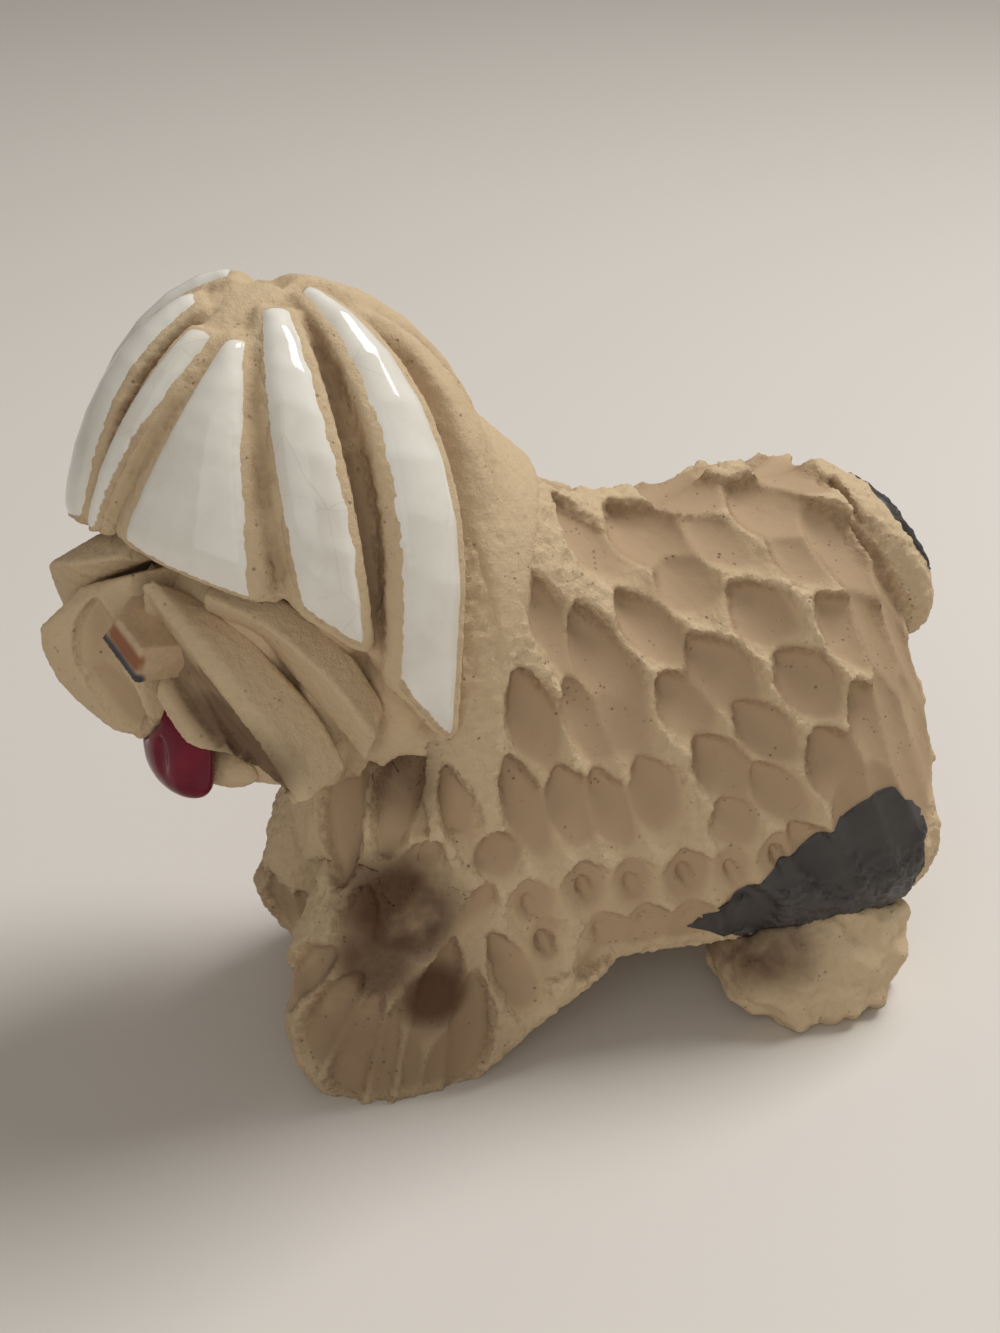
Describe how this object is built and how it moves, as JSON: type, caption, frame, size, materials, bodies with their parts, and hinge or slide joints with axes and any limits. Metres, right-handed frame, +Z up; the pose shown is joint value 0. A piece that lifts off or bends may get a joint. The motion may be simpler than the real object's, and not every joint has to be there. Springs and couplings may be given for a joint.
{
  "type": "dog figurine",
  "caption": "Standing long-haired dog figurine in carved buff stoneware, with white glazed hair locks over the eyes, charcoal patches and a ruby tongue.",
  "frame": {"origin": "on the floor under the middle of the bounding box", "axes": "-Y is the way the body faces, +X is the dog's left, +Z is up"},
  "size_m": [0.0632, 0.1352, 0.1189],
  "materials": {
    "clay": "unglazed hand-carved buff stoneware with fine grog",
    "white_glaze": "glossy white glaze with a faint crackle",
    "charcoal_glaze": "satin charcoal glaze",
    "ruby_glaze": "glossy translucent ruby glaze",
    "nose_stain": "brown stain with a blue-black tip"
  },
  "bodies": {
    "root": {"cheek_left": "clay", "cheek_right": "clay", "chest_locks": "clay", "chin": "clay", "coat": "clay", "front_paw_left": "clay", "front_paw_right": "clay", "haunch_glaze_left": "charcoal_glaze", "haunch_glaze_right": "charcoal_glaze", "head": "clay", "moustache_left": "clay", "moustache_right": "clay", "nose": "nose_stain", "rear_paw_left": "clay", "rear_paw_right": "clay", "tail_glaze": "charcoal_glaze", "tail_stub": "clay", "tongue": "ruby_glaze", "white_lock_front_left": "white_glaze", "white_lock_front_right": "white_glaze", "white_lock_middle_left": "white_glaze", "white_lock_middle_right": "white_glaze", "white_lock_rear_left": "white_glaze", "white_lock_rear_right": "white_glaze"}
  },
  "joints": []
}
